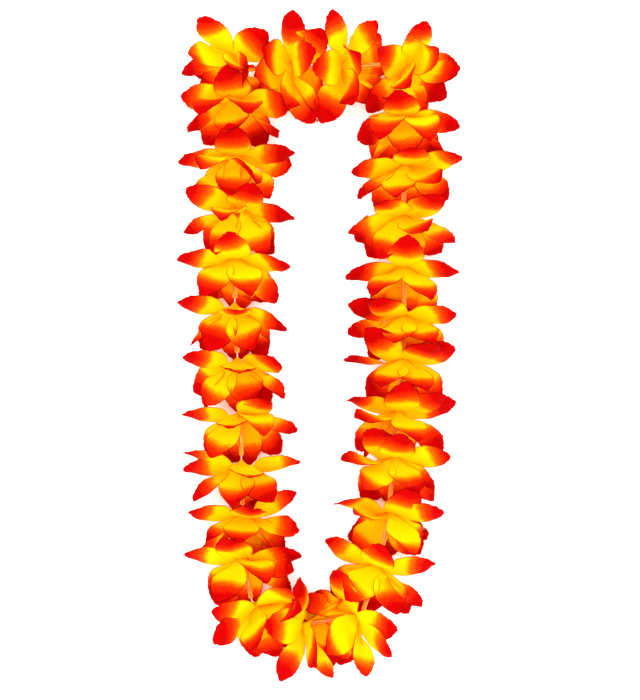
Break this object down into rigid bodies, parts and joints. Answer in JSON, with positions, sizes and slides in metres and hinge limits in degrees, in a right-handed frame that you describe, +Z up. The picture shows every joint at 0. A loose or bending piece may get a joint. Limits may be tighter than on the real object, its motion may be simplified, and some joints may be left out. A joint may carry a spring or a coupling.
{
  "type": "flower lei",
  "caption": "Flat-lying lei of cloth blossoms dyed yellow to red, worn round the neck: a closed thread carries them with plastic spacer tubes between.",
  "frame": {"origin": "bottom centre of the bounding box: on the surface that the lei lies on, under the middle of the loop", "axes": "+Z up off the surface, +Y along the loop's long way towards its squarer end, +X across the loop"},
  "size_m": [0.2148, 0.5042, 0.0665],
  "materials": {
    "flower_cloth": "matte stiffened woven polyester, dyed yellow at the thread through orange to red at the petal tips",
    "straw_plastic": "thin translucent drinking-straw tube",
    "thread_cotton": "plain white thread"
  },
  "bodies": {
    "root": {"flower_01": "flower_cloth", "flower_02": "flower_cloth", "flower_03": "flower_cloth", "flower_04": "flower_cloth", "flower_05": "flower_cloth", "flower_06": "flower_cloth", "flower_07": "flower_cloth", "flower_08": "flower_cloth", "flower_09": "flower_cloth", "flower_10": "flower_cloth", "flower_11": "flower_cloth", "flower_12": "flower_cloth", "flower_13": "flower_cloth", "flower_14": "flower_cloth", "flower_15": "flower_cloth", "flower_16": "flower_cloth", "flower_17": "flower_cloth", "flower_18": "flower_cloth", "flower_19": "flower_cloth", "flower_20": "flower_cloth", "flower_21": "flower_cloth", "flower_22": "flower_cloth", "flower_23": "flower_cloth", "flower_24": "flower_cloth", "flower_25": "flower_cloth", "flower_26": "flower_cloth", "flower_27": "flower_cloth", "spacer_tube_01": "straw_plastic", "spacer_tube_02": "straw_plastic", "spacer_tube_03": "straw_plastic", "spacer_tube_04": "straw_plastic", "spacer_tube_05": "straw_plastic", "spacer_tube_06": "straw_plastic", "spacer_tube_07": "straw_plastic", "spacer_tube_08": "straw_plastic", "spacer_tube_09": "straw_plastic", "spacer_tube_10": "straw_plastic", "spacer_tube_11": "straw_plastic", "spacer_tube_12": "straw_plastic", "spacer_tube_13": "straw_plastic", "spacer_tube_14": "straw_plastic", "spacer_tube_15": "straw_plastic", "spacer_tube_16": "straw_plastic", "spacer_tube_17": "straw_plastic", "spacer_tube_18": "straw_plastic", "spacer_tube_19": "straw_plastic", "spacer_tube_20": "straw_plastic", "spacer_tube_21": "straw_plastic", "spacer_tube_22": "straw_plastic", "spacer_tube_23": "straw_plastic", "spacer_tube_24": "straw_plastic", "spacer_tube_25": "straw_plastic", "spacer_tube_26": "straw_plastic", "spacer_tube_27": "straw_plastic", "thread": "thread_cotton"}
  },
  "joints": []
}
